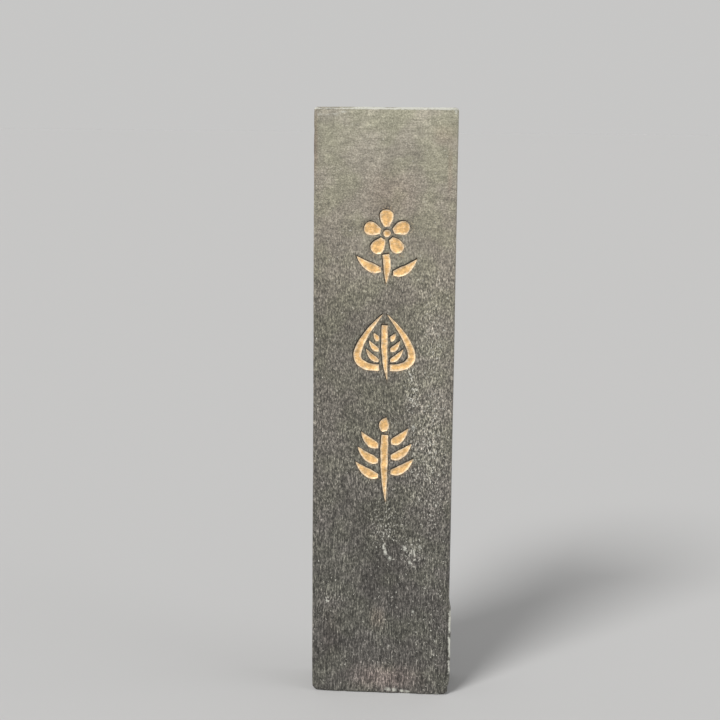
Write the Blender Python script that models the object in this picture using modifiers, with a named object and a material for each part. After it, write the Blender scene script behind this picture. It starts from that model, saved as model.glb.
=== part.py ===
"""An ink stick: a pressed block of ink, with gilt plant motifs in shallow troughs on its front face.

Metres, +Z up. The origin is the centre of the foot. The front face looks along -Y, X runs across it.
The motifs are laid out in millimetres from their own centres, with u to the right and v up.
"""

import math

import bmesh
import bpy
from mathutils import Matrix, Vector
from mathutils.geometry import intersect_point_line

MM = 0.001

# The block
HEIGHT = 100.0 * MM
WIDTH = 23.6 * MM
THICKNESS = 10.5 * MM
EDGE_RADIUS = 0.45 * MM
EDGE_SEGMENTS = 3

# The troughs and the gilding in them
TROUGH_DEPTH = 0.45 * MM
GILT_THICKNESS = 0.2 * MM
GILT_GAP = 0.1 * MM
CUTTER_RISE = 1.0 * MM

# How finely outlines are drawn. The shares keep a stroke's point and an inset corner from degenerating
STROKE_STEPS = 11
DOT_STEPS = 16
TANGENT_STEP = 0.01
LAST_SHARE = 0.998
LEAST_MITRE = 0.1
LEAST_STEP = 0.04
CLEAR_SHARE = 0.97

# Where the motifs' centres are, in millimetres: across from the middle, and up from the foot
BLOSSOM_CENTRE = (0.4, 77.3)
LEAF_CENTRE = (0.2, 60.5)
SPRIG_CENTRE = (0.4, 41.3)

SIDES = ((-1, "left"), (1, "right"))

# Strokes drawn once: the start, bend and end of the centreline, and the full width
BLOSSOM_STEM = ((-0.15, -1.25), (0.25, -3.6), (-0.1, -6.1), 1.25)
BLOSSOM_LEAF_LEFT = ((-0.95, -3.75), (-2.8, -4.0), (-5.0, -1.6), 1.55)
BLOSSOM_LEAF_RIGHT = ((1.05, -4.35), (3.0, -4.5), (5.0, -2.0), 1.5)
LEAF_EDGE_RIGHT = ((0.9, -3.4), (8.4, -3.5), (0.38, 5.55), 1.3)
LEAF_MIDRIB = ((0.0, 3.75), (-0.2, -1.5), (0.5, -5.55), 1.05)
SPRIG_STEM = ((0.0, 4.35), (-0.2, -2.0), (0.25, -7.3), 1.25)
SPRIG_BUD = ((0.0, 4.95), (-0.35, 6.2), (0.25, 7.3), 1.7)

# The blossom's petals, measured out from its eye
PETALS = 5
PETAL_EYE = (0.0, 2.2)
PETAL_START, PETAL_BEND, PETAL_END = 1.1, 2.5, 3.9
PETAL_LEAN = 0.18
PETAL_WIDTH = 2.25
EYE_RADIUS = 0.62

# The broad leaf's veins: each row's height at the midrib, and how far out it reaches
VEIN_ROWS = ((-2.2, 3.1), (-0.45, 2.6), (1.3, 1.8))
VEIN_START = 0.95
VEIN_SAG = 0.1
VEIN_SLOPE = 0.62
VEIN_WIDTH = 0.95

# The tall sprig's leaves: each row's height at the stem, and how far out it reaches
SPRIG_ROWS = ((-2.4, 4.85), (0.2, 4.5), (2.8, 3.95))
SPRIG_LEAF_START = 1.05
SPRIG_LEAF_BEND = 0.62
SPRIG_LEAF_RISE = 2.35
SPRIG_LEAF_WIDTH = 1.5
SPRIG_STAGGER = 0.35

INK_COLOUR = (0.045, 0.043, 0.038, 1.0)
GILT_COLOUR = (0.70, 0.44, 0.20, 1.0)


def clear_scene():
    for obj in list(bpy.data.objects):
        bpy.data.objects.remove(obj, do_unlink=True)


def new_collection(name, parent):
    collection = bpy.data.collections.new(name)
    parent.children.link(collection)
    return collection


def material(name, colour, roughness, metallic=0.0):
    made = bpy.data.materials.new(name)
    made.use_nodes = True
    shader = made.node_tree.nodes["Principled BSDF"]
    shader.inputs["Base Color"].default_value = colour
    shader.inputs["Roughness"].default_value = roughness
    shader.inputs["Metallic"].default_value = metallic
    return made


# Outlines: each returns a closed ring of (u, v) points in millimetres


def bezier(start, bend, end, t):
    a, b, c = Vector(start), Vector(bend), Vector(end)
    return a.lerp(b, t).lerp(b.lerp(c, t), t)


class Profile:
    """How wide a stroke is along its length: blunt at the start, full at the peak, then down to nothing.

    power sets how late it narrows. tip is 1 for a point and 0.5 for a round end.
    """

    def __init__(self, blunt, peak, power, tip):
        self.blunt, self.peak, self.power, self.tip = blunt, peak, power, tip

    def share(self, t):
        if t < self.peak:
            return self.blunt + (1.0 - self.blunt) * math.sin(math.pi / 2 * t / self.peak)
        past = (t - self.peak) / (1.0 - self.peak)
        return (1.0 - past**self.power) ** self.tip


LEAF = Profile(blunt=0.5, peak=0.38, power=1.9, tip=0.85)
PETAL = Profile(blunt=0.36, peak=0.62, power=2.2, tip=0.5)
STEM = Profile(blunt=0.9, peak=0.15, power=2.4, tip=0.9)
RIM = Profile(blunt=0.85, peak=0.3, power=2.6, tip=0.7)


def stroke_outline(start, bend, end, width, profile):
    """A brush stroke round a curved centreline, anticlockwise."""
    left, right = [], []
    for i in range(STROKE_STEPS + 1):
        # The points crowd towards the end, where the stroke turns most
        t = math.sin(math.pi / 2 * i / STROKE_STEPS)
        centre = bezier(start, bend, end, t)
        ahead = bezier(start, bend, end, t + TANGENT_STEP) - bezier(start, bend, end, t - TANGENT_STEP)
        side = Vector((-ahead.y, ahead.x)).normalized()
        half = width * profile.share(min(t, LAST_SHARE)) / 2
        left.append(centre + side * half)
        right.append(centre - side * half)
    return right + left[::-1]


def dot_outline(centre, radius):
    turns = (2 * math.pi * i / DOT_STEPS for i in range(DOT_STEPS))
    return [Vector(centre) + Vector((math.cos(a), math.sin(a))) * radius for a in turns]


def distance_to_edge(point, start, end):
    nearest, share = intersect_point_line(point, start, end)
    if share < 0.0 or share > 1.0:
        return min((point - start).length, (point - end).length)
    return (point - nearest.to_2d()).length


def inset(outline, gap):
    """The ring moved inwards by gap, without the points that this brings too near a side or each other."""
    edges = list(zip(outline, outline[1:] + outline[:1]))
    normals = [Vector((start.y - end.y, end.x - start.x)).normalized() for start, end in edges]
    ring = []
    for i, point in enumerate(outline):
        bisector = (normals[i - 1] + normals[i]).normalized()
        moved = point + bisector * gap / max(bisector.dot(normals[i]), LEAST_MITRE)
        clear = min(distance_to_edge(moved, *edge) for edge in edges) > CLEAR_SHARE * gap
        if clear and (not ring or (moved - ring[-1]).length > LEAST_STEP):
            ring.append(moved)
    return ring


# The motifs: each yields (node name, outline)


def blossom():
    eye = Vector(PETAL_EYE)
    for i in range(PETALS):
        turn = math.radians(90 + 360 / PETALS * i)
        way = Vector((math.cos(turn), math.sin(turn)))
        lean = Vector((-way.y, way.x)) * PETAL_LEAN
        start, bend, end = (eye + way * reach for reach in (PETAL_START, PETAL_BEND, PETAL_END))
        yield f"gilt_blossom_petal_{i + 1}", stroke_outline(start, bend + lean, end, PETAL_WIDTH, PETAL)
    yield "gilt_blossom_eye", dot_outline(PETAL_EYE, EYE_RADIUS)
    yield "gilt_blossom_stem", stroke_outline(*BLOSSOM_STEM, STEM)
    yield "gilt_blossom_leaf_left", stroke_outline(*BLOSSOM_LEAF_LEFT, LEAF)
    yield "gilt_blossom_leaf_right", stroke_outline(*BLOSSOM_LEAF_RIGHT, LEAF)


def broad_leaf():
    *edge, edge_width = LEAF_EDGE_RIGHT
    for side, name in SIDES:
        mirrored = [(side * u, v) for u, v in edge]
        yield f"gilt_leaf_edge_{name}", stroke_outline(*mirrored, edge_width, RIM)
    yield "gilt_leaf_midrib", stroke_outline(*LEAF_MIDRIB, STEM)
    for row, (foot, reach) in enumerate(VEIN_ROWS, 1):
        for side, name in SIDES:
            start = (side * VEIN_START, foot)
            bend = (side * (reach + VEIN_START) / 2, foot + VEIN_SAG)
            end = (side * reach, foot + VEIN_SLOPE * reach)
            yield f"gilt_leaf_vein_{name}_{row}", stroke_outline(start, bend, end, VEIN_WIDTH, LEAF)


def tall_sprig():
    yield "gilt_sprig_stem", stroke_outline(*SPRIG_STEM, STEM)
    yield "gilt_sprig_bud", stroke_outline(*SPRIG_BUD, LEAF)
    for row, (foot, reach) in enumerate(SPRIG_ROWS, 1):
        for side, name in SIDES:
            base = foot + side * SPRIG_STAGGER
            start = (side * SPRIG_LEAF_START, base)
            bend = (side * reach * SPRIG_LEAF_BEND, base)
            end = (side * reach, base + SPRIG_LEAF_RISE)
            yield f"gilt_sprig_leaf_{name}_{row}", stroke_outline(start, bend, end, SPRIG_LEAF_WIDTH, LEAF)


MOTIFS = ((BLOSSOM_CENTRE, blossom), (LEAF_CENTRE, broad_leaf), (SPRIG_CENTRE, tall_sprig))


# Solids


def flat_plate(name, outline, centre, depth_low, depth_high, collection):
    """A plate of this outline parallel to the front face, between two depths behind that face."""
    curve = bpy.data.curves.new(name, "CURVE")
    curve.dimensions = "2D"
    curve.fill_mode = "BOTH"
    curve.extrude = (depth_high - depth_low) / 2
    spline = curve.splines.new("POLY")
    spline.points.add(len(outline) - 1)
    for point, (u, v) in zip(spline.points, outline):
        point.co = (u * MM, v * MM, 0.0, 1.0)
    spline.use_cyclic_u = True
    plate = bpy.data.objects.new(name, curve)
    collection.objects.link(plate)
    plate.location = (centre[0] * MM, -THICKNESS / 2 + (depth_low + depth_high) / 2, centre[1] * MM)
    plate.rotation_euler = (math.radians(90), 0.0, 0.0)
    return plate


def as_mesh(curve_object, collection):
    """The curve object as a welded mesh object in the same place, which a Boolean can use."""
    bpy.context.view_layer.update()
    evaluated = curve_object.evaluated_get(bpy.context.evaluated_depsgraph_get())
    mesh = bpy.data.meshes.new_from_object(evaluated)
    welder = bmesh.new()
    welder.from_mesh(mesh)
    bmesh.ops.remove_doubles(welder, verts=welder.verts, dist=0.001 * MM)
    bmesh.ops.recalc_face_normals(welder, faces=welder.faces)
    welder.to_mesh(mesh)
    welder.free()
    name, place = curve_object.name, curve_object.matrix_world.copy()
    bpy.data.objects.remove(curve_object)
    solid = bpy.data.objects.new(name, mesh)
    solid.matrix_world = place
    collection.objects.link(solid)
    return solid


def make_ink_body(parts, ink):
    mesh = bpy.data.meshes.new("ink_body")
    builder = bmesh.new()
    size = Matrix.Diagonal((WIDTH, THICKNESS, HEIGHT, 1.0))
    bmesh.ops.create_cube(builder, size=1.0, matrix=Matrix.Translation((0, 0, HEIGHT / 2)) @ size)
    builder.to_mesh(mesh)
    builder.free()
    body = bpy.data.objects.new("ink_body", mesh)
    body.data.materials.append(ink)
    parts.objects.link(body)
    rounding = body.modifiers.new("rounded_edges", "BEVEL")
    rounding.width = EDGE_RADIUS
    rounding.segments = EDGE_SEGMENTS
    return body


def cut_trough(body, name, outline, centre, cutters):
    plate = flat_plate(f"cut_{name}", outline, centre, -CUTTER_RISE, TROUGH_DEPTH, cutters)
    cutter = as_mesh(plate, cutters)
    cutter.hide_render = True
    cutter.display_type = "WIRE"
    cut = body.modifiers.new(name, "BOOLEAN")
    cut.operation = "DIFFERENCE"
    cut.solver = "EXACT"
    cut.object = cutter


def add_gilding(name, outline, centre, parts, gilt):
    back = TROUGH_DEPTH - GILT_GAP
    plate = flat_plate(name, outline, centre, back - GILT_THICKNESS, back, parts)
    plate.data.materials.append(gilt)


def main():
    clear_scene()
    scene = bpy.context.scene.collection
    parts = new_collection("ink_stick", scene)
    cutters = new_collection("cutters", scene)
    cutters.hide_render = True
    ink = material("ink", INK_COLOUR, roughness=0.62)
    gilt = material("gilt", GILT_COLOUR, roughness=0.55, metallic=0.3)
    body = make_ink_body(parts, ink)
    for centre, motif in MOTIFS:
        for name, outline in motif():
            cut_trough(body, name, outline, centre, cutters)
            add_gilding(name, inset(outline, GILT_GAP / MM), centre, parts, gilt)


main()
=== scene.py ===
"""The looks of a gilded ink stick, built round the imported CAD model.

Metres, in the CAD model's frame: +Z up the stick, the front face towards -Y. Shapes are worked out in
millimetres, and MM turns them into metres when a mesh is made.
"""

import math

import bpy
import numpy as np
from mathutils import Matrix, Vector


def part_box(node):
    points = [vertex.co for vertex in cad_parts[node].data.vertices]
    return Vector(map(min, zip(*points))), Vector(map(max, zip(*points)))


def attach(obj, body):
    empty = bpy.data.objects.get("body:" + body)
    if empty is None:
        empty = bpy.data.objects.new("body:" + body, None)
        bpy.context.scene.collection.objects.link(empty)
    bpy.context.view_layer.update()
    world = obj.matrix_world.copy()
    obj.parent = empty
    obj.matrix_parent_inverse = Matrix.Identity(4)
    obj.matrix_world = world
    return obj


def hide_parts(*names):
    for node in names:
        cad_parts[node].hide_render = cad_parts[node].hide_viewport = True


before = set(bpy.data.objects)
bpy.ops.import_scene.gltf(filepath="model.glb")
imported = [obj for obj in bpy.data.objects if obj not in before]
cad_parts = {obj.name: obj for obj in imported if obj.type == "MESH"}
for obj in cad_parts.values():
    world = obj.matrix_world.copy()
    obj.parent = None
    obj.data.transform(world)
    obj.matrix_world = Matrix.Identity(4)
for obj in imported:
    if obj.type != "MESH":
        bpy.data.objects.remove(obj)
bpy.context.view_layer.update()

MM = 0.001
LOW, HIGH = (np.array(corner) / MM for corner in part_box("ink_body"))
CENTRE = (LOW + HIGH) / 2
HALF = (HIGH - LOW) / 2
FRONT = LOW[1]
HEIGHT = HIGH[2]

# The ink block's mesh: how far apart its points are, closer near the edges
FINE_STEP = 0.11
FINE_MARGIN = 1.3
ACROSS_STEP = 0.21
ALONG_STEP = 0.52

# The worn arrises: how round they are, with swings of (amount, size of the lumps, seed)
EDGE_RADIUS = 0.36
EDGE_RADIUS_SWINGS = ((0.16, (3.1, 3.1, 5.3), 11), (0.064, (1.1, 1.1, 1.3), 12))
LEAST_RADIUS = 0.14
# Corners worn rounder: side, foot or top, how far the wear reaches, and the extra radius
WORN_CORNERS = ((-1, 0.0, 2.6, 0.55), (-1, 1.0, 1.3, 0.35), (1, 0.0, 1.8, 0.42), (1, 1.0, 0.9, 0.2))
# Chips: where across, in depth and up the stick, how wide and how deep
CHIPS = (
    (3.7, -5.25, 0.1, 0.75, 0.22),
    (4.9, -5.25, 0.0, 0.5, 0.16),
    (8.1, -5.25, 0.0, 0.6, 0.14),
    (-6.5, -5.25, 0.0, 0.5, 0.1),
    (-10.0, -5.25, 99.8, 1.3, 0.3),
    (-8.2, -5.25, 100.1, 1.4, 0.26),
    (-6.4, -5.25, 100.5, 1.4, 0.2),
    (0.6, -5.25, 100.3, 1.0, 0.12),
    (-1.9, -5.25, 100.0, 0.5, 0.1),
    (11.6, -5.2, 99.5, 0.7, 0.2),
    (-11.8, -5.2, 96.0, 0.6, 0.1),
    (-11.8, -5.2, 91.5, 0.5, 0.08),
    (-11.8, 5.2, 71.0, 0.8, 0.2),
    (11.8, 5.2, 22.0, 0.9, 0.22),
    (5.6, 5.25, 100.0, 0.9, 0.2),
    (-11.7, 1.0, 0.0, 0.8, 0.16),
    (11.8, -5.1, 30.5, 0.6, 0.1),
)
# Nicks on the arrises and pits in the faces: how many, how wide and how deep
DENT_SEED = 5
NICKS = 90
NICK_SIZES = (0.18, 0.42)
NICK_DEPTHS = (0.03, 0.12)
PITS = 150
PIT_SIZES = (0.2, 0.5)
PIT_DEPTHS = (0.01, 0.04)

# A burr that stands out along the low right arris: how far, and where up the stick it starts and ends
BURR = 0.36
BURR_STARTS = (1.2, 3.2)
BURR_ENDS = (17.6, 15.0)
# How near the arris it is nothing and full, across the face and in depth
BURR_ACROSS = 0.35
BURR_DEEP = (1.2, 0.4)
BURR_UNEVEN = 0.25

# The pressed surface is smooth at the top and fibrous below: how far below the top that starts and is full
FIBRES_START, FIBRES_FULL = 8.0, 26.0
FIBRES_RAGGED = 6.0
# Low relief: how deep, size of the lumps, seed, and whether it is part of the fibres
RELIEF = (
    (0.035, (8.0, 8.0, 15.0), 41, False),
    (0.012, (2.3, 2.3, 6.0), 42, False),
    (0.011, (0.62, 0.62, 5.5), 43, True),
    (0.007, (0.42, 0.42, 2.6), 44, True),
    (0.004, (0.9, 0.9, 1.2), 45, False),
)

# Soft spots on the front face: across, up the stick, half width, half height, strength
CHALK_SPOTS = (
    (5.0, 52.3, 1.5, 3.2, 0.9),
    (5.6, 41.0, 1.4, 8.5, 0.6),
    (4.6, 55.5, 0.9, 2.0, 0.8),
    (8.3, 43.0, 2.4, 15.0, 0.66),
    (8.2, 62.0, 2.2, 9.0, 0.45),
    (1.5, 47.5, 1.2, 4.0, 0.3),
    (-9.0, 16.5, 0.6, 1.0, 0.7),
    (-6.0, 5.0, 0.9, 1.6, 0.35),
    (9.1, 7.6, 0.4, 1.1, 0.7),
    (-7.5, 79.0, 2.0, 2.5, 0.3),
    (0.9, 29.5, 3.0, 5.5, 0.6),
    (5.4, 25.0, 1.7, 2.6, 0.8),
    (8.6, 13.0, 3.0, 14.0, 0.34),
    (1.5, 12.0, 4.5, 14.0, 0.2),
    (-8.5, 16.5, 2.5, 4.0, 0.35),
)
PALE_SPOTS = (
    (5.2, 47.0, 0.35, 0.45, 0.8),
    (0.4, 26.3, 0.25, 0.6, 0.8),
    (0.8, 25.3, 0.3, 0.6, 0.9),
    (1.5, 24.2, 0.4, 0.5, 0.75),
    (4.05, 26.1, 0.4, 0.5, 0.7),
    (5.6, 25.4, 0.25, 0.8, 0.6),
    (4.9, 23.6, 0.3, 0.6, 0.6),
    (6.6, 26.4, 0.3, 0.4, 0.6),
    (1.5, 0.75, 0.7, 0.35, 0.68),
    (2.6, 0.7, 0.5, 0.4, 0.72),
    (3.9, 0.5, 0.4, 0.3, 0.95),
    (4.8, 0.42, 0.5, 0.3, 1.0),
    (9.9, 0.25, 0.7, 0.16, 0.6),
    (-10.8, 98.75, 0.6, 0.17, 0.5),
    (-9.6, 98.6, 0.9, 0.17, 0.58),
    (-8.2, 98.8, 0.9, 0.17, 0.58),
    (-6.9, 99.15, 0.8, 0.17, 0.58),
    (11.4, 99.3, 0.3, 0.5, 0.6),
    (5.6, 15.0, 0.25, 0.3, 0.8),
    (-9.2, 16.3, 0.25, 0.35, 0.9),
)
FADED_SPOTS = (
    (-2.6, 2.6, 2.7, 2.0, 0.9),
    (0.7, 3.0, 2.9, 2.2, 1.35),
    (4.7, 2.9, 2.4, 2.1, 0.95),
    (-0.5, 13.6, 1.3, 1.8, 0.75),
    (-7.8, 4.0, 1.2, 1.8, 0.4),
    (9.5, 55.0, 4.6, 21.0, 0.52),
    (10.0, 96.0, 3.5, 8.0, 0.08),
    (7.0, 30.0, 3.0, 12.0, 0.25),
)
# The most that a faded spot may be, because what is painted on the mesh goes from 0 to 1
FADED_MOST = 1.5
STAIN_SPOTS = (
    (1.0, 2.9, 6.0, 2.2, 0.95),
    (-0.5, 13.6, 1.3, 1.8, 0.8),
    (-8.5, 11.0, 1.6, 5.0, 0.3),
    (-11.7, 94.0, 0.55, 5.0, 1.0),
    (10.6, 90.0, 0.4, 4.0, 0.6),
    (9.6, 95.5, 1.8, 1.6, 0.5),
    (1.0, 86.0, 4.0, 3.5, 0.45),
)
DARK_SPOTS = (
    (-11.7, 94.0, 0.5, 4.6, 0.45),
    # Painted shade along the low right arris, where its rounded edge turns from the light, beside the
    # painted glint
    (11.55, 8.5, 0.17, 8.0, 0.95),
    (1.5, 22.0, 5.0, 8.0, 0.48),
    (0.0, 31.5, 5.0, 4.0, 0.38),
    (7.5, 30.0, 3.2, 5.0, 0.24),
    (2.0, 9.0, 14.0, 9.0, 0.16),
    (7.2, 2.2, 0.7, 1.6, 0.4),
)

# How far behind the front face its own points may lie, and between which depths its spots fade out
FRONT_ZONE = 1.0
SPOTS_END = (1.6, 0.8)
# Rubbed arrises, with a painted highlight along the top and a painted glint low on the right: how far away
# the wear is nothing and full, the least wear, and what ragged wear adds
RUB_EVERYWHERE = ((0.34, 0.1), 0.12, 0.3)
TOP_RUB_AND_HIGHLIGHT = ((0.6, 0.3), 0.6, 0.4)
LOW_RIGHT_RUB_AND_GLINT = ((0.42, 0.3), 0.4, 0.6)
# How far below the top the rubbed band with its painted highlight is nothing and full
TOP_BAND = (0.6, 0.45)
# The painted glint low on the right, a broken pale line on the worn arris: where it is nothing and full,
# past the side, in depth, and at each end
LINE_ACROSS = (-0.06, 0.08)
LINE_DEEP = (0.9, 0.5)
LINE_STARTS = (3.2, 4.4)
LINE_ENDS = (16.0, 14.8)
LINE_GAPS = (-0.6, -0.25)

# Painted shade on the upper left of each stroke, and gold dust with a painted highlight on its lower right:
# shift, reach and strength
CREVICE_SHIFT, CREVICE_REACH, CREVICE_SHADE = (0.1, -0.12), 0.12, 0.35
DUST_AND_HIGHLIGHT_SHIFT, DUST_AND_HIGHLIGHT_REACH, DUST_AND_HIGHLIGHT = (-0.1, 0.12), 0.12, 0.5

# The troughs: (depth, how far the wall stands outside the drawn outline), from above the face to the floor
TROUGH_LEVELS = ((-0.3, 0.15), (0.0, 0.15), (0.2, 0.0), (0.45, -0.06))
# How far the troughs' rims are shifted across and up, which widens their upper left walls
TROUGH_LEAN = (-0.085, 0.105)
# A face is in a trough if it is this far from the block's outline, and steep or deep enough
TROUGH_MARGIN = 2.0
TROUGH_STEEP = 0.85
TROUGH_DEEP = 0.2
# How much painted shade, and how much gold dust with a painted highlight, a trough's walls get: those that
# face the upper left, and the lower right
WALL_SHADE = (0.4, 1.0)
WALL_DUST_AND_HIGHLIGHT = (0.8, 0.0)
# The gilding: how deep its rim and how much deeper its middle, and how far in from the outline
GILT_EDGE_DEPTH = 0.22
GILT_SAG = 0.12
GILT_SAG_REACH = 0.5
GILT_EDGE_INSET = 0.01
GILT_FLOOR_INSET = 0.095
GILT_FLOOR_GAP = 0.004
GILT_STEP = 0.13
GILT_LEAST_STEPS = 10
GILT_ACROSS = 12
# How uneven its surface is: amount, size of the lumps, seed
GILT_LUMPS = ((0.012, (0.3, 9.0, 0.3), 51), (0.01, (0.9, 9.0, 0.9), 52))


def clip01(values):
    return np.clip(values, 0.0, 1.0)


def smooth(values, low, high):
    share = clip01((values - low) / (high - low))
    return share * share * (3.0 - 2.0 * share)


def lumps(points, cell, seed):
    """Smooth noise from -1 to 1 at these points in millimetres, with lumps the size of cell."""
    cell = np.array(cell, float)
    place = (points - LOW + 2.0) / cell
    corner = np.floor(place).astype(int)
    share = place - corner
    share = share * share * (3.0 - 2.0 * share)
    grid = np.random.default_rng(seed).uniform(-1.0, 1.0, corner.max(0) + 2)
    total = np.zeros(len(points))
    for step in np.ndindex(2, 2, 2):
        weight = np.prod(np.where(step, share, 1.0 - share), axis=1)
        total += weight * grid[tuple((corner + step).T)]
    return total


def new_piece(name, points, faces, materials):
    """A mesh object from points in millimetres."""
    mesh = bpy.data.meshes.new(name)
    mesh.from_pydata([tuple(p) for p in np.asarray(points) * MM], [], [tuple(f) for f in faces])
    mesh.validate()
    piece = bpy.data.objects.new(name, mesh)
    bpy.context.scene.collection.objects.link(piece)
    for material in materials:
        mesh.materials.append(material)
    return piece


# The motifs, as the CAD model draws them: millimetres from each motif's centre

BLOSSOM_CENTRE = (0.4, 77.3)
LEAF_CENTRE = (0.2, 60.5)
SPRIG_CENTRE = (0.4, 41.3)
SIDES = ((-1, "left"), (1, "right"))

BLOSSOM_STEM = ((-0.15, -1.25), (0.25, -3.6), (-0.1, -6.1), 1.25)
BLOSSOM_LEAF_LEFT = ((-0.95, -3.75), (-2.8, -4.0), (-5.0, -1.6), 1.55)
BLOSSOM_LEAF_RIGHT = ((1.05, -4.35), (3.0, -4.5), (5.0, -2.0), 1.5)
LEAF_EDGE_RIGHT = ((0.9, -3.4), (8.4, -3.5), (0.38, 5.55), 1.3)
LEAF_MIDRIB = ((0.0, 3.75), (-0.2, -1.5), (0.5, -5.55), 1.05)
SPRIG_STEM = ((0.0, 4.35), (-0.2, -2.0), (0.25, -7.3), 1.25)
SPRIG_BUD = ((0.0, 4.95), (-0.35, 6.2), (0.25, 7.3), 1.7)

PETALS = 5
PETAL_EYE = (0.0, 2.2)
PETAL_START, PETAL_BEND, PETAL_END = 1.1, 2.5, 3.9
PETAL_LEAN = 0.18
PETAL_WIDTH = 2.25
EYE_RADIUS = 0.62

VEIN_ROWS = ((-2.2, 3.1), (-0.45, 2.6), (1.3, 1.8))
VEIN_START = 0.95
VEIN_SAG = 0.1
VEIN_SLOPE = 0.62
VEIN_WIDTH = 0.95

SPRIG_ROWS = ((-2.4, 4.85), (0.2, 4.5), (2.8, 3.95))
SPRIG_LEAF_START = 1.05
SPRIG_LEAF_BEND = 0.62
SPRIG_LEAF_RISE = 2.35
SPRIG_LEAF_WIDTH = 1.5
SPRIG_STAGGER = 0.35

TANGENT_STEP = 0.01
LEAST_HALF_WIDTH = 0.012
RING_STEP = 0.16


class Profile:
    """How wide a stroke is along its length: blunt at the start, full at the peak, then down to nothing.

    power sets how late it narrows. tip is 1 for a point and 0.5 for a round end.
    """

    def __init__(self, blunt, peak, power, tip):
        self.blunt, self.peak, self.power, self.tip = blunt, peak, power, tip

    def share(self, t):
        if t < self.peak:
            return self.blunt + (1.0 - self.blunt) * math.sin(math.pi / 2 * t / self.peak)
        past = (t - self.peak) / (1.0 - self.peak)
        return (1.0 - past**self.power) ** self.tip


class Round:
    """The profile of a disc."""

    def share(self, t):
        return math.sqrt(max(1.0 - (2.0 * t - 1.0) ** 2, 0.0))


LEAF = Profile(blunt=0.5, peak=0.38, power=1.9, tip=0.85)
PETAL = Profile(blunt=0.36, peak=0.62, power=2.2, tip=0.5)
STEM = Profile(blunt=0.9, peak=0.15, power=2.4, tip=0.9)
RIM = Profile(blunt=0.85, peak=0.3, power=2.6, tip=0.7)


class Stroke:
    """One carved stroke on the front face: a curved centreline with a width that follows a profile."""

    def __init__(self, name, centre, start, bend, end, width, profile):
        self.name, self.width, self.profile = name, width, profile
        self.ends = [Vector(centre) + Vector(p) for p in (start, bend, end)]
        self.length = 2 * (self.spine(0.5) - self.spine(0.0)).length
        self.count = max(14, round(self.length / RING_STEP))
        # A hand-cut edge is never quite even
        self.phase = sum(self.ends[0]) + 1.7 * sum(self.ends[2])

    def spine(self, t):
        a, b, c = self.ends
        return a.lerp(b, t).lerp(b.lerp(c, t), t)

    def side(self, t):
        ahead = self.spine(t + TANGENT_STEP) - self.spine(t - TANGENT_STEP)
        return Vector((-ahead.y, ahead.x)).normalized()

    def half(self, t, side=1):
        tremor = 0.026 * math.sin(1.9 * self.length * t + self.phase + side)
        tremor += 0.018 * math.sin(4.3 * self.length * t + 2.0 * self.phase - 2 * side)
        share = self.profile.share(min(max(t, 0.0), 0.999))
        return max(self.width / 2 * share + tremor * share, 0.0)

    def times(self, count, spread=0.0):
        """Steps along the stroke, closer at its ends, and running spread past them."""
        reach = spread / self.length
        shares = (1.0 - np.cos(np.linspace(0.0, math.pi, count + 1))) / 2
        return -reach + shares * (1.0 + 2.0 * reach)

    def ring(self, spread):
        """The outline moved out by spread, anticlockwise."""
        left, right = [], []
        for t in self.times(self.count, spread):
            spine, side = self.spine(t), self.side(t)
            left.append(spine + side * max(self.half(t, 1) + spread, LEAST_HALF_WIDTH))
            right.append(spine - side * max(self.half(t, -1) + spread, LEAST_HALF_WIDTH))
        return right + left[::-1]


def blossom():
    eye = Vector(PETAL_EYE)
    for i in range(PETALS):
        turn = math.radians(90 + 360 / PETALS * i)
        way = Vector((math.cos(turn), math.sin(turn)))
        lean = Vector((-way.y, way.x)) * PETAL_LEAN
        start, bend, end = (eye + way * reach for reach in (PETAL_START, PETAL_BEND, PETAL_END))
        yield f"gilt_blossom_petal_{i + 1}", start, bend + lean, end, PETAL_WIDTH, PETAL
    across = Vector((EYE_RADIUS, 0.0))
    yield "gilt_blossom_eye", eye - across, eye, eye + across, 2 * EYE_RADIUS, Round()
    yield "gilt_blossom_stem", *BLOSSOM_STEM, STEM
    yield "gilt_blossom_leaf_left", *BLOSSOM_LEAF_LEFT, LEAF
    yield "gilt_blossom_leaf_right", *BLOSSOM_LEAF_RIGHT, LEAF


def broad_leaf():
    *edge, edge_width = LEAF_EDGE_RIGHT
    for side, name in SIDES:
        mirrored = [(side * u, v) for u, v in edge]
        yield f"gilt_leaf_edge_{name}", *mirrored, edge_width, RIM
    yield "gilt_leaf_midrib", *LEAF_MIDRIB, STEM
    for row, (foot, reach) in enumerate(VEIN_ROWS, 1):
        for side, name in SIDES:
            start = (side * VEIN_START, foot)
            bend = (side * (reach + VEIN_START) / 2, foot + VEIN_SAG)
            end = (side * reach, foot + VEIN_SLOPE * reach)
            yield f"gilt_leaf_vein_{name}_{row}", start, bend, end, VEIN_WIDTH, LEAF


def tall_sprig():
    yield "gilt_sprig_stem", *SPRIG_STEM, STEM
    yield "gilt_sprig_bud", *SPRIG_BUD, LEAF
    for row, (foot, reach) in enumerate(SPRIG_ROWS, 1):
        for side, name in SIDES:
            base = foot + side * SPRIG_STAGGER
            start = (side * SPRIG_LEAF_START, base)
            bend = (side * reach * SPRIG_LEAF_BEND, base)
            end = (side * reach, base + SPRIG_LEAF_RISE)
            yield f"gilt_sprig_leaf_{name}_{row}", start, bend, end, SPRIG_LEAF_WIDTH, LEAF


def all_strokes():
    for centre, motif in ((BLOSSOM_CENTRE, blossom), (LEAF_CENTRE, broad_leaf), (SPRIG_CENTRE, tall_sprig)):
        for name, *shape in motif():
            yield Stroke(name, centre, *shape)


# The ink block


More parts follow.
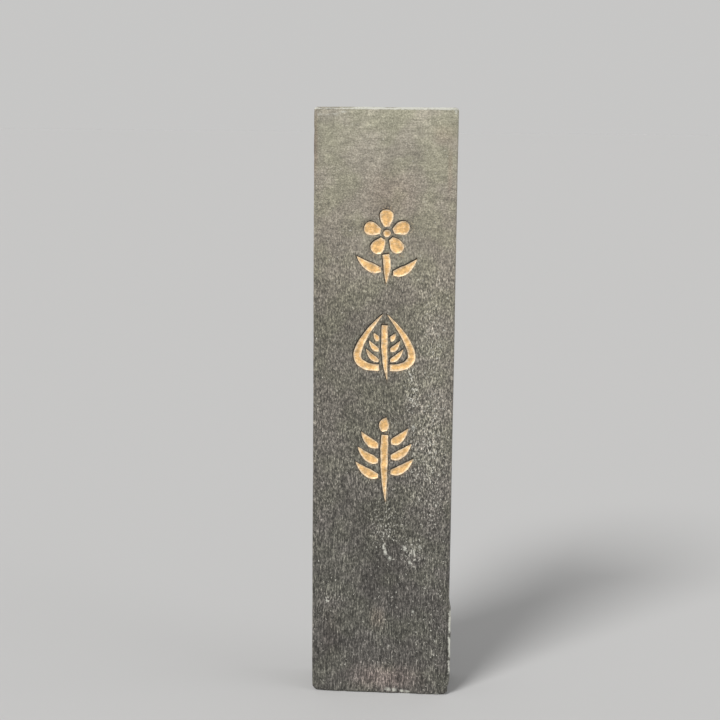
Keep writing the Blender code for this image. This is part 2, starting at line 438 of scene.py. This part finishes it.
def spaced(low, high, step):
    """Points from low to high, a fine step apart near both ends and about step apart between."""
    count = round(FINE_MARGIN / FINE_STEP)
    ends = np.linspace(0.0, FINE_MARGIN, count + 1)
    inner_low, inner_high = low + FINE_MARGIN, high - FINE_MARGIN
    middle = np.linspace(inner_low, inner_high, round((high - low - 2 * FINE_MARGIN) / step) + 1)
    return np.concatenate([low + ends[:-1], middle, high - ends[::-1][1:]])


def box_grid():
    """The block's surface as one closed grid of quads: points in millimetres, and faces."""
    steps = (ACROSS_STEP, ACROSS_STEP, ALONG_STEP)
    lines = [spaced(low, high, step) for low, high, step in zip(LOW, HIGH, steps)]
    points, faces, offset = [], [], 0
    for axis in range(3):
        along, up = lines[(axis + 1) % 3], lines[(axis + 2) % 3]
        for end in (LOW, HIGH):
            grid = np.empty((len(along), len(up), 3))
            grid[..., axis] = end[axis]
            grid[..., (axis + 1) % 3] = along[:, None]
            grid[..., (axis + 2) % 3] = up[None, :]
            index = offset + np.arange(grid.size // 3).reshape(len(along), len(up))
            quads = np.stack([index[:-1, :-1], index[1:, :-1], index[1:, 1:], index[:-1, 1:]], -1)
            quads = quads.reshape(-1, 4)
            points.append(grid.reshape(-1, 3))
            faces.append(quads if end is HIGH else quads[:, ::-1])
            offset += grid.size // 3
    points, faces = np.vstack(points), np.vstack(faces)
    _, first, merged = np.unique(np.round(points, 4), axis=0, return_index=True, return_inverse=True)
    return points[first], merged.reshape(-1)[faces]


def edge_radius(points):
    """How round the arrises are near each point."""
    radius = np.full(len(points), EDGE_RADIUS)
    for swing, cell, seed in EDGE_RADIUS_SWINGS:
        radius += swing * lumps(points, cell, seed)
    for side, end, reach, extra in WORN_CORNERS:
        away = np.hypot(points[:, 0] - side * HALF[0], points[:, 2] - end * HEIGHT)
        radius += extra * np.exp(-((away / reach) ** 2))
    return np.maximum(radius, LEAST_RADIUS)


def rounded(points, radius):
    """The box's points moved onto a box with rounded edges, and the way each faces."""
    radius = radius[:, None]
    inner = np.clip(points - CENTRE, radius - HALF, HALF - radius)
    outward = points - CENTRE - inner
    outward /= np.linalg.norm(outward, axis=1)[:, None]
    return CENTRE + inner + radius * outward, outward


def fibre_share(points):
    """How far the surface is drawn into upright fibres: 0 near the top, 1 below."""
    below_top = HEIGHT - points[:, 2] + FIBRES_RAGGED * lumps(points, (7.0, 7.0, 9.0), 21)
    return smooth(below_top, FIBRES_START, FIBRES_FULL)


def dents(points):
    """How deep chips, nicks and pits go at each point."""
    random = np.random.default_rng(DENT_SEED)
    depth = np.zeros(len(points))
    ragged = 1.0 + 0.5 * lumps(points, (0.35, 0.35, 0.35), 31)

    def dent(place, size, deepest):
        near = np.abs(points[:, 2] - place[2]) < 3 * size
        away = np.linalg.norm(points[near] - place, axis=1) / size
        depth[near] = np.maximum(depth[near], deepest * ragged[near] * np.exp(-(away**4)))

    for x, y, z, size, deepest in CHIPS:
        dent(np.array((x, y, z)), size, deepest)
    for _ in range(NICKS):
        place = CENTRE + HALF * random.uniform(-1.0, 1.0, 3)
        first, second = random.permutation(3)[:2]
        for axis in (first, second):
            place[axis] = CENTRE[axis] + HALF[axis] * random.choice((-1.0, 1.0))
        dent(place, random.uniform(*NICK_SIZES), random.uniform(*NICK_DEPTHS))
    for _ in range(PITS):
        place = CENTRE + HALF * random.uniform(-1.0, 1.0, 3)
        axis = random.choice((0, 1, 1))
        place[axis] = CENTRE[axis] + HALF[axis] * random.choice((-1.0, 1.0))
        dent(place, random.uniform(*PIT_SIZES), random.uniform(*PIT_DEPTHS))
    return depth


def relief(points):
    """How far below the true box the surface lies, in millimetres, apart from chips."""
    fibres = fibre_share(points)
    depth = np.zeros(len(points))
    for deepest, cell, seed, fibrous in RELIEF:
        share = fibres if fibrous else 1.0
        depth += share * deepest * (1.0 + lumps(points, cell, seed))
    return depth


def burr(points):
    """How far each point moves to the right, where the low right arris has dried with a burr."""
    x, y, z = points.T
    arris = smooth(x, HALF[0] - BURR_ACROSS, HALF[0]) * smooth(y, *(FRONT + depth for depth in BURR_DEEP))
    span = smooth(z, *BURR_STARTS) * smooth(z, *BURR_ENDS)
    return BURR * arris * span * (1.0 + BURR_UNEVEN * lumps(points, (1.0, 1.0, 1.3), 71))


def make_ink_block(ink):
    points, faces = box_grid()
    surface, outward = rounded(points, edge_radius(points))
    surface[:, 0] += burr(points)
    depth = relief(points) + dents(points)
    # The foot stays on the floor
    depth *= np.where(outward[:, 2] < -0.99, 0.0, 1.0)
    return new_piece("ink_block", surface - outward * depth[:, None], faces, [ink])


def make_cutter(strokes):
    """All the troughs as one mesh of separate closed bodies with sloping sides."""
    points, faces = [], []
    for stroke in strokes:
        rings = []
        for depth, spread in TROUGH_LEVELS:
            lean = Vector(TROUGH_LEAN) * (1.0 if depth <= 0.0 else 0.0)
            rings.append([(p.x, FRONT + depth, p.y) for p in (q + lean for q in stroke.ring(spread))])
        size, base = len(rings[0]), len(points)
        for ring in rings:
            points += ring
        index = base + np.arange(len(rings) * size).reshape(len(rings), size)
        after = np.roll(index, -1, axis=1)
        faces += [tuple(index[0]), tuple(index[-1][::-1])]
        for level in range(len(rings) - 1):
            for i in range(size):
                faces.append((index[level, i], index[level + 1, i], after[level + 1, i], after[level, i]))
    return new_piece("trough_cutter", points, faces, [])


def cut(block, cutter):
    """Takes the cutter out of the block, and removes the cutter."""
    boolean = block.modifiers.new("troughs", "BOOLEAN")
    boolean.operation = "DIFFERENCE"
    boolean.solver = "MANIFOLD"
    boolean.object = cutter
    bpy.context.view_layer.update()
    carved = bpy.data.meshes.new_from_object(block.evaluated_get(bpy.context.evaluated_depsgraph_get()))
    block.modifiers.clear()
    block.data = carved
    bpy.data.objects.remove(cutter)


# The gilding


def make_gilding(stroke, gilt):
    """Gold paint lying in one trough: dished, and creeping up the walls."""
    along = max(GILT_LEAST_STEPS, round(stroke.length / GILT_STEP))
    times = stroke.times(along, -GILT_EDGE_INSET)
    across = np.sin(np.linspace(-math.pi / 2, math.pi / 2, GILT_ACROSS + 1))
    top, floor = [], []
    for t in times:
        spine, side = stroke.spine(t), stroke.side(t)
        to_end = min(t, 1.0 - t) * stroke.length
        for share in across:
            half = stroke.half(t, 1 if share > 0 else -1)
            reach = max(half - GILT_EDGE_INSET, LEAST_HALF_WIDTH)
            place = spine + side * reach * share
            to_wall = min(reach * (1.0 - abs(share)), to_end)
            rise = max(0.0, 1.0 - to_wall / GILT_SAG_REACH) ** 2
            top.append((place.x, FRONT + GILT_EDGE_DEPTH + GILT_SAG * (1.0 - rise), place.y))
            narrow = spine + side * max(half - GILT_FLOOR_INSET, LEAST_HALF_WIDTH) * share
            floor.append((narrow.x, FRONT + TROUGH_LEVELS[-1][0] + GILT_FLOOR_GAP, narrow.y))
    top, floor = np.array(top), np.array(floor)
    inside = np.abs(np.tile(across, len(times))) < 0.99
    uneven = sum(amount * lumps(top, cell, seed) for amount, cell, seed in GILT_LUMPS)
    top[:, 1] += np.where(inside, uneven, 0.0)
    rows, columns = len(times), len(across)
    grid = np.arange(rows * columns).reshape(rows, columns)
    under = grid + rows * columns

    def quads(g):
        return np.stack([g[:-1, :-1], g[:-1, 1:], g[1:, 1:], g[1:, :-1]], -1).reshape(-1, 4)

    rim = np.concatenate([grid[0, :-1], grid[:-1, -1], grid[-1, :0:-1], grid[:0:-1, 0]])
    skirt = np.stack([rim, np.roll(rim, -1), np.roll(rim, -1) + rows * columns, rim + rows * columns], -1)
    faces = np.vstack([quads(grid)[:, ::-1], quads(under), skirt])
    return new_piece(stroke.name.replace("gilt_", "gilding_"), np.vstack([top, floor]), faces, [gilt])


# Edges sharper than this stay sharp, in degrees
INK_SHARP = 40
GILT_SHARP = 50


def shade(piece, sharp_angle):
    piece.data.shade_smooth()
    piece.data.set_sharp_from_angle(angle=math.radians(sharp_angle))


# What the ink's material reads at each point of the mesh


def mesh_points(piece):
    points = np.empty(3 * len(piece.data.vertices))
    piece.data.vertices.foreach_get("co", points)
    return points.reshape(-1, 3) / MM


def paint(piece, name, shares, domain="POINT"):
    attribute = piece.data.attributes.new(name, "FLOAT", domain)
    attribute.data.foreach_set("value", clip01(shares).astype(np.float32))


def front_spots(points, spots, power=2.0):
    """How much each point is covered by soft spots on the front face."""
    total = np.zeros(len(points))
    for x, z, half_width, half_height, strength in spots:
        across, up = np.abs((points[:, 0] - x) / half_width), np.abs((points[:, 2] - z) / half_height)
        total = np.maximum(total, strength * np.exp(-(across**power + up**power)))
    return total * smooth(points[:, 1], *(FRONT + depth for depth in SPOTS_END))


def to_arris(points):
    """How far each point is from the nearest edge of the box."""
    away = np.stack([HALF[axis] - np.abs(points[:, axis] - CENTRE[axis]) for axis in range(3)])
    return np.sort(away, axis=0)[1]


def rubbed_and_lit(away, ragged, rub):
    reach, least, added = rub
    return smooth(away, *reach) * (least + added * ragged)


def arris_wear_and_highlight(points):
    """Where the arrises are painted pale: rubbed on all of them, with a painted highlight along the top and
    a painted glint in broken dashes low on the right.
    """
    x, y, z = points.T
    away = to_arris(points)
    ragged = 0.5 + 0.5 * lumps(points, (0.5, 0.5, 0.5), 61) + 0.35 * lumps(points, (2.1, 2.1, 2.1), 62)
    ragged = clip01(ragged)
    top = rubbed_and_lit(away, ragged, TOP_RUB_AND_HIGHLIGHT) * smooth(z, *(HEIGHT - below for below in TOP_BAND))
    low_right = rubbed_and_lit(away, ragged, LOW_RIGHT_RUB_AND_GLINT) * smooth(lumps(points, (9.0, 9.0, 0.7), 65), *LINE_GAPS)
    low_right *= smooth(x, *(HALF[0] + past for past in LINE_ACROSS))
    low_right *= smooth(y, *(FRONT + depth for depth in LINE_DEEP))
    low_right *= smooth(z, *LINE_STARTS) * smooth(z, *LINE_ENDS)
    return np.maximum(np.maximum(rubbed_and_lit(away, ragged, RUB_EVERYWHERE), top), low_right)


def near_strokes(points, strokes, shift, reach):
    """How near the front's points, moved by shift, are to a stroke: 1 on it, fading over reach."""
    front = points[:, 1] < FRONT + FRONT_ZONE
    place = points[front][:, ::2] + shift
    nearest = np.full(len(place), np.inf)
    for stroke in strokes:
        for t in np.linspace(0.0, 1.0, 2 * stroke.count + 1):
            away = np.linalg.norm(place - np.array(stroke.spine(t)), axis=1) - stroke.half(t)
            nearest = np.minimum(nearest, away)
    shares = np.zeros(len(points))
    shares[front] = np.exp(-((np.maximum(nearest, 0.0) / reach) ** 2))
    return shares


def trough_faces(block):
    """Which faces lie in the troughs, and how much each of them faces the lower right, from 0 to 1."""
    faces = block.data.polygons
    middle, normal = np.empty(3 * len(faces)), np.empty(3 * len(faces))
    faces.foreach_get("center", middle)
    faces.foreach_get("normal", normal)
    x, y, z = middle.reshape(-1, 3).T / MM
    across, deep, up = normal.reshape(-1, 3).T
    inside = np.minimum(HALF[0] - np.abs(x), HALF[2] - np.abs(z - CENTRE[2])) > TROUGH_MARGIN
    inside &= y < FRONT + FRONT_ZONE
    carved = (np.abs(deep) < TROUGH_STEEP) | (y > FRONT + TROUGH_DEEP)
    return inside & carved, clip01(0.5 + 0.65 * across - 0.75 * up)


def between(share, ends):
    return ends[0] + (ends[1] - ends[0]) * share


def mark_ink(block, strokes):
    points = mesh_points(block)
    # Painted shade on the upper left of each stroke, gold dust with a painted highlight on its lower right
    crevice = CREVICE_SHADE * near_strokes(points, strokes, CREVICE_SHIFT, CREVICE_REACH)
    dust_and_highlight = DUST_AND_HIGHLIGHT * near_strokes(points, strokes, DUST_AND_HIGHLIGHT_SHIFT, DUST_AND_HIGHLIGHT_REACH)
    paint(block, "chalk", front_spots(points, CHALK_SPOTS))
    paint(block, "pale", np.maximum(front_spots(points, PALE_SPOTS), arris_wear_and_highlight(points)))
    paint(block, "faded", front_spots(points, FADED_SPOTS, 3.4) / FADED_MOST)
    paint(block, "stain", front_spots(points, STAIN_SPOTS, 3.0))

    # These two change sharply at the rim of a trough, so each corner of each face has its own. In the
    # troughs the first is painted shade, darkest on walls that face the lower right, away from the light,
    # and the second is gold dust with a painted highlight on walls that face the upper left, towards it
    corners = np.empty(len(block.data.loops), int)
    block.data.loops.foreach_get("vertex_index", corners)
    sizes = np.empty(len(block.data.polygons), int)
    block.data.polygons.foreach_get("loop_total", sizes)
    in_trough, lower_right = (np.repeat(values, sizes) for values in trough_faces(block))
    dark = np.maximum(front_spots(points, DARK_SPOTS), crevice)[corners]
    paint(block, "dark", np.where(in_trough, between(lower_right, WALL_SHADE), dark), "CORNER")
    paint(block, "dust_and_highlight", np.where(in_trough, between(lower_right, WALL_DUST_AND_HIGHLIGHT), dust_and_highlight[corners]), "CORNER")


# Materials


class Graph:
    """A short way to write a material's nodes. Lengths in it are in millimetres of the object."""

    def __init__(self, name):
        self.material = bpy.data.materials.new(name)
        self.material.use_nodes = True
        self.tree = self.material.node_tree
        self.shader = self.tree.nodes["Principled BSDF"]
        place = self.add("ShaderNodeTexCoord")
        self.place = self.vector("MULTIPLY", place.outputs["Object"], (1 / MM,) * 3)

    def add(self, kind, **settings):
        node = self.tree.nodes.new(kind)
        for name, value in settings.items():
            setattr(node, name, value)
        return node

    def join(self, socket, value):
        if isinstance(value, bpy.types.NodeSocket):
            self.tree.links.new(value, socket)
        else:
            socket.default_value = value

    def vector(self, operation, a, b):
        node = self.add("ShaderNodeVectorMath", operation=operation)
        self.join(node.inputs[0], a)
        self.join(node.inputs[1], b)
        return node.outputs[0]

    def math(self, operation, a, b):
        node = self.add("ShaderNodeMath", operation=operation)
        self.join(node.inputs[0], a)
        self.join(node.inputs[1], b)
        return node.outputs[0]

    def plus(self, a, b):
        return self.math("ADD", a, b)

    def times(self, a, b):
        return self.math("MULTIPLY", a, b)

    def two_to(self, value):
        return self.math("POWER", 2.0, value)

    def axis(self, name):
        node = self.add("ShaderNodeSeparateXYZ")
        self.join(node.inputs[0], self.place)
        return node.outputs[name]

    def attribute(self, name):
        return self.add("ShaderNodeAttribute", attribute_name=name).outputs["Fac"]

    def swing(self, value, amount):
        """Noise about 0.5 turned into a swing about nothing."""
        return self.times(self.math("SUBTRACT", value, 0.5), amount)

    def mixed(self, share, a, b):
        """The number between a and b."""
        node = self.add("ShaderNodeMix", data_type="FLOAT")
        for socket, value in ((node.inputs[0], share), (node.inputs[2], a), (node.inputs[3], b)):
            self.join(socket, value)
        return node.outputs[0]

    def gradient(self, value, stops):
        node = self.add("ShaderNodeValToRGB")
        elements = node.color_ramp.elements
        for place, colour in stops[1:-1]:
            elements.new(place)
        for element, (place, colour) in zip(elements, stops):
            element.position = place
            element.color = (*colour, 1.0)
        self.join(node.inputs[0], value)
        return node.outputs["Color"]

    def noise(self, size, detail=2.0, roughness=0.5, shift=0.0, distortion=0.0):
        """Noise from 0 to 1 whose lumps are about size millimetres along X, Y and Z."""
        stretched = self.vector("MULTIPLY", self.place, tuple(1.0 / s for s in size))
        moved = self.vector("ADD", stretched, (shift, shift, shift))
        node = self.add("ShaderNodeTexNoise")
        self.join(node.inputs["Vector"], moved)
        self.join(node.inputs["Scale"], 1.0)
        self.join(node.inputs["Detail"], detail)
        self.join(node.inputs["Roughness"], roughness)
        self.join(node.inputs["Distortion"], distortion)
        return node.outputs["Fac"]

    def ramp(self, value, low, high, to_low=0.0, to_high=1.0):
        """value from low to high, turned smoothly into to_low to to_high."""
        node = self.add("ShaderNodeMapRange", interpolation_type="SMOOTHSTEP")
        numbers = {"Value": value, "From Min": low, "From Max": high, "To Min": to_low, "To Max": to_high}
        for name, number in numbers.items():
            self.join(node.inputs[name], number)
        return node.outputs["Result"]

    def mix(self, share, a, b, blend="MIX"):
        node = self.add("ShaderNodeMix", data_type="RGBA", blend_type=blend, clamp_result=False)
        self.join(node.inputs["Factor"], share)
        for socket, value in ((node.inputs[6], a), (node.inputs[7], b)):
            self.join(socket, value if isinstance(value, bpy.types.NodeSocket) else (*value, 1.0))
        return node.outputs[2]

    def bump(self, height, distance, normal=None):
        node = self.add("ShaderNodeBump")
        self.join(node.inputs["Height"], height)
        node.inputs["Distance"].default_value = distance * MM
        if normal:
            self.join(node.inputs["Normal"], normal)
        return node.outputs["Normal"]


# The ink's colour up the front, paler towards the top, which is a paler bloom together with a painted sheen
# of the light from above: share of the height, and colour
INK_COLOURS = (
    (0.0, (0.095, 0.0915, 0.0795)),
    (0.25, (0.103, 0.0985, 0.085)),
    (0.62, (0.158, 0.1485, 0.119)),
    (0.82, (0.272, 0.251, 0.196)),
    (1.0, (0.348, 0.331, 0.257)),
)

# What is painted on the mesh
INK_MARKS = ("chalk", "pale", "faded", "stain", "dark", "dust_and_highlight")

# Changes up the stick: from one height to another, from one value to another
FIBROUS = (90.0, 70.0, 0.0, 1.0)
DRAWN_OUT = (45.0, 15.0, 0.2, 0.5)
CONTRAST = (96.0, 70.0, 0.86, 2.4)
CONTRAST_BELOW = (70.0, 20.0, 0.0, 1.2)
MOTTLED = (60.0, 85.0, 0.4, 1.0)
RIPPLED = (60.0, 88.0, 0.15, 1.0)

# How far noise swings the ink's brightness, as powers of two, and how much the marks change it
GRAIN_SWING = 4.0
DRIFT_SWING = 1.1
MOTTLE_SWING = 1.3
CHALK_CONTRAST = 1.6
FADED_GAIN = 0.55

# Colours that are mixed into the ink's own, or multiply it
GREENISH, PINKISH = (0.99, 1.0, 0.965), (1.015, 0.985, 1.03)
TINT_RAMP = (0.36, 0.64)
# Nearly black: dark patches, and painted shade in the troughs, above each stroke and along the low right
# arris
DIRT_AND_SHADE, DIRT_AND_SHADE_SHARE = (0.013, 0.011, 0.008), 0.9
CHALK, CHALK_FLECKS = (0.68, 0.665, 0.59), 0.15
FLECK_RAMP = (0.65, 0.73, 0.0, 0.95)
STAIN = (1.07, 0.95, 0.94)
# Gold dust, which also paints a highlight on the lit lower right rims of the strokes
GOLD_DUST_AND_HIGHLIGHT = (0.62, 0.43, 0.24)
DUST_AND_HIGHLIGHT_RAMP = (0.5, 0.62, 0.0, 0.8)
# Pale rubbed ink, which also paints the highlight along the top arris and the glint low on the right
RUBBED_AND_LIT_INK, RUBBED_AND_LIT_SHARE = (0.60, 0.60, 0.535), 0.75
CRUMBS_SWING = 0.9
RUBBED_AND_LIT_RAMP = (0.12, 0.62)

INK_ROUGHNESS = (-1.0, 1.0, 0.5, 0.72)
INK_SPECULAR = 0.4
GRAIN_BUMP, RIPPLE_BUMP = 0.06, 0.11


def ink_material():
    g = Graph("pressed_ink")
    z = g.axis("Z")
    chalk, pale, faded, stain, dark, dust_and_highlight = (g.attribute(name) for name in INK_MARKS)

    fibres = g.noise((0.21, 0.21, 0.43), detail=4.0, roughness=0.65)
    threads = g.noise((0.21, 0.21, 1.45), detail=4.0, roughness=0.65, shift=7.0)
    speckle = g.noise((0.27, 0.27, 0.25), detail=3.0, roughness=0.75, shift=13.0)
    tint = g.noise((6.0, 6.0, 5.0), shift=17.0)
    drift = g.noise((4.0, 4.0, 9.0), detail=3.0, roughness=0.55, shift=23.0)
    flecks = g.noise((0.3, 0.3, 0.44), detail=4.0, roughness=0.65, shift=31.0)
    mottle = g.noise((1.4, 1.4, 0.8), shift=37.0)
    crumbs = g.noise((0.32, 0.32, 0.32), detail=4.0, roughness=0.6, shift=41.0)
    ripples = g.noise((3.6, 3.6, 0.6), shift=47.0, distortion=0.6)

    # Speckled at the top, fibrous lower down
    drawn = g.mixed(g.ramp(z, *DRAWN_OUT), fibres, threads)
    texture = g.mixed(g.ramp(z, *FIBROUS), speckle, drawn)
    grain = g.swing(texture, GRAIN_SWING)
    contrast = g.plus(g.ramp(z, *CONTRAST), g.ramp(z, *CONTRAST_BELOW))
    contrast = g.plus(contrast, g.times(chalk, CHALK_CONTRAST))
    slow = g.times(g.swing(mottle, MOTTLE_SWING), g.ramp(z, *MOTTLED))
    slow = g.plus(g.swing(drift, DRIFT_SWING), slow)
    brightness = g.times(g.two_to(g.times(grain, contrast)), g.two_to(slow))
    brightness = g.times(brightness, g.plus(g.times(faded, FADED_GAIN * FADED_MOST), 1.0))

    # Paler up the stick: a paler bloom together with a painted sheen of the light from above
    colour = g.gradient(g.math("DIVIDE", z, HEIGHT), INK_COLOURS)
    colour = g.mix(1.0, colour, g.mix(g.ramp(tint, *TINT_RAMP), GREENISH, PINKISH), "MULTIPLY")
    colour = g.mix(1.0, colour, brightness, "MULTIPLY")
    # Dark patches, and painted shade in the troughs, above each stroke and along the low right arris
    colour = g.mix(g.times(dark, DIRT_AND_SHADE_SHARE), colour, DIRT_AND_SHADE)

    # Chalky flecks: a few everywhere, thick where the chalk is
    flecks = g.ramp(g.plus(flecks, g.times(chalk, CHALK_FLECKS)), *FLECK_RAMP)
    colour = g.mix(flecks, colour, CHALK)
    colour = g.mix(stain, colour, STAIN, "MULTIPLY")
    # Gold dust beside the strokes, with a painted highlight on their lower right and on the trough walls
    # that face the upper left
    colour = g.mix(g.times(g.ramp(speckle, *DUST_AND_HIGHLIGHT_RAMP), dust_and_highlight), colour, GOLD_DUST_AND_HIGHLIGHT)
    # Pale rubbed arrises and chips, with a painted highlight along the top arris and a painted glint low on
    # the right
    rubbed_and_lit = g.plus(g.times(pale, RUBBED_AND_LIT_SHARE), g.swing(crumbs, CRUMBS_SWING))
    colour = g.mix(g.ramp(rubbed_and_lit, *RUBBED_AND_LIT_RAMP), colour, RUBBED_AND_LIT_INK)
    g.join(g.shader.inputs["Base Color"], colour)

    g.join(g.shader.inputs["Roughness"], g.ramp(grain, *INK_ROUGHNESS))
    g.shader.inputs["Specular IOR Level"].default_value = INK_SPECULAR
    normal = g.bump(texture, GRAIN_BUMP)
    normal = g.bump(g.times(ripples, g.ramp(z, *RIPPLED)), RIPPLE_BUMP, normal)
    g.join(g.shader.inputs["Normal"], normal)
    return g.material


# Gold paint: pale where it creeps up the walls, which is also a painted highlight of the walls catching the
# light, deeper orange in the middle of a stroke
GILT_RIM_AND_HIGHLIGHT = (0.92, 0.715, 0.475)
GILT_MIDDLE = (0.865, 0.535, 0.222)
# The share of the sag where the middle's colour starts, and how far patches swing that, in millimetres
GILT_MIDDLE_STARTS = 0.3
PATCHES_SWING = 0.16
# Brightness swings with equal shares of clouds and of grain that is a third brush marks
GILT_SWING = 4.8
CLOUD_SHARE, BRUSH_SHARE = 0.5, 0.35
# Worn through to the ink in a few specks
GILT_WORN, WORN_SHARE = (0.25, 0.17, 0.10), 0.6
WORN_RAGGED = 0.45
WORN_RAMP = (0.25, 0.18)

GILT_METALLIC = 0.2
GILT_ROUGHNESS = (0.3, 0.7, 0.45, 0.62)
BRUSH_BUMP, GILT_BUMP = 0.03, 0.015


def gilt_material():
    g = Graph("gold_paint")
    grain = g.noise((0.14, 0.14, 0.14), detail=3.0, roughness=0.6)
    clouds = g.noise((0.8, 0.8, 0.8), shift=5.0)
    brush = g.noise((0.7, 0.7, 0.2), shift=9.0)
    patches = g.noise((0.42, 0.42, 0.42), shift=15.0)

    depth = g.plus(g.math("SUBTRACT", g.axis("Y"), FRONT), g.swing(patches, PATCHES_SWING))
    starts, full = (GILT_EDGE_DEPTH + share * GILT_SAG for share in (GILT_MIDDLE_STARTS, 1.0))
    # Pale at the rim, which is also a painted highlight where the walls catch the light
    colour = g.mix(g.ramp(depth, starts, full), GILT_RIM_AND_HIGHLIGHT, GILT_MIDDLE)
    uneven = g.mixed(CLOUD_SHARE, g.mixed(BRUSH_SHARE, grain, brush), clouds)
    colour = g.mix(1.0, colour, g.two_to(g.swing(uneven, GILT_SWING)), "MULTIPLY")
    worn = g.ramp(g.plus(clouds, g.swing(grain, WORN_RAGGED)), *WORN_RAMP)
    colour = g.mix(g.times(worn, WORN_SHARE), colour, GILT_WORN)
    g.join(g.shader.inputs["Base Color"], colour)

    g.shader.inputs["Metallic"].default_value = GILT_METALLIC
    g.join(g.shader.inputs["Roughness"], g.ramp(grain, *GILT_ROUGHNESS))
    g.join(g.shader.inputs["Normal"], g.bump(grain, GILT_BUMP, g.bump(brush, BRUSH_BUMP)))
    return g.material


# The stage

CAMERA_PLACE = (0.0131, -0.2366 + FRONT * MM, 0.0965)
# In degrees: round the stick from straight on, down, and about the line of sight
CAMERA_TURN = 4.10
CAMERA_PITCH = 9.14
CAMERA_ROLL = 0.52
LENS, SENSOR = 72.0, 36.0
NEAREST_SEEN = 0.01

# The floor and the low sky have the same brightness, so that no horizon shows
PAPER = 0.592
LOW_SKY = 0.569
HIGH_SKY = 0.32
# How far up the sky starts to fade and has faded, from 0 at the horizon to 1 overhead
SKY_FADE = (0.3, 0.8)
SKY_COLOUR = (1.0, 0.9945, 0.9835)
# Half the floor's side, in millimetres: far enough for its edge not to show
FLOOR_REACH = 40000.0

# Name, where the light comes from, softness in degrees, strength, colour
SUNS = (
    ("key", (-0.45, -0.75, 0.85), 20.0, 2.2, (1.0, 0.99, 0.975)),
    ("fill", (0.9, -0.2, 0.4), 50.0, 0.6, (1.0, 1.0, 1.0)),
)


def add_camera():
    turn, pitch, roll = (math.radians(a) for a in (CAMERA_TURN, CAMERA_PITCH, CAMERA_ROLL))
    ahead = Vector((-math.sin(turn) * math.cos(pitch), math.cos(turn) * math.cos(pitch), -math.sin(pitch)))
    level = Vector((math.cos(turn), math.sin(turn), 0.0))
    up = level.cross(ahead)
    right = level * math.cos(roll) + up * math.sin(roll)
    data = bpy.data.cameras.new("camera")
    data.lens, data.sensor_width = LENS, SENSOR
    data.clip_start = NEAREST_SEEN
    camera = bpy.data.objects.new("camera", data)
    turned = Matrix((right, ahead.cross(right) * -1, -ahead)).transposed().to_4x4()
    camera.matrix_world = Matrix.Translation(CAMERA_PLACE) @ turned
    bpy.context.scene.collection.objects.link(camera)
    bpy.context.scene.camera = camera


def add_sun(name, towards, softness, strength, colour):
    data = bpy.data.lights.new(name, "SUN")
    data.angle, data.energy, data.color = math.radians(softness), strength, colour
    sun = bpy.data.objects.new(name, data)
    sun.rotation_euler = Vector(towards).to_track_quat("Z", "Y").to_euler()
    bpy.context.scene.collection.objects.link(sun)


def add_sky():
    world = bpy.data.worlds.new("studio")
    world.use_nodes = True
    nodes, links = world.node_tree.nodes, world.node_tree.links
    way = nodes.new("ShaderNodeTexCoord")
    split = nodes.new("ShaderNodeSeparateXYZ")
    fade = nodes.new("ShaderNodeMapRange")
    fade.interpolation_type = "SMOOTHSTEP"
    ends = {"From Min": SKY_FADE[0], "From Max": SKY_FADE[1], "To Min": LOW_SKY, "To Max": HIGH_SKY}
    for name, number in ends.items():
        fade.inputs[name].default_value = number
    links.new(way.outputs["Generated"], split.inputs[0])
    links.new(split.outputs["Z"], fade.inputs["Value"])
    links.new(fade.outputs["Result"], nodes["Background"].inputs["Strength"])
    nodes["Background"].inputs["Color"].default_value = (*SKY_COLOUR, 1.0)
    bpy.context.scene.world = world


def floor_material():
    g = Graph("floor_paper")
    g.shader.inputs["Base Color"].default_value = (PAPER, PAPER, PAPER, 1.0)
    g.shader.inputs["Roughness"].default_value = 1.0
    g.shader.inputs["Specular IOR Level"].default_value = 0.0
    return g.material


def add_stage():
    edge = FLOOR_REACH
    corners = [(-edge, -edge, 0.0), (edge, -edge, 0.0), (edge, edge, 0.0), (-edge, edge, 0.0)]
    floor = new_piece("floor", corners, [(0, 1, 2, 3)], [floor_material()])
    add_sky()
    for sun in SUNS:
        add_sun(*sun)
    view = bpy.context.scene.view_settings
    view.view_transform = "Standard"
    view.look = "None"
    view.exposure = 0.0
    view.gamma = 1.0


def main():
    add_camera()
    add_stage()
    ink, gilt = ink_material(), gilt_material()
    strokes = list(all_strokes())
    block = make_ink_block(ink)
    cut(block, make_cutter(strokes))
    shade(block, INK_SHARP)
    mark_ink(block, strokes)
    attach(block, "root")
    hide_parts("ink_body")
    for stroke in strokes:
        gilding = make_gilding(stroke, gilt)
        shade(gilding, GILT_SHARP)
        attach(gilding, "root")
        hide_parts(stroke.name)


main()
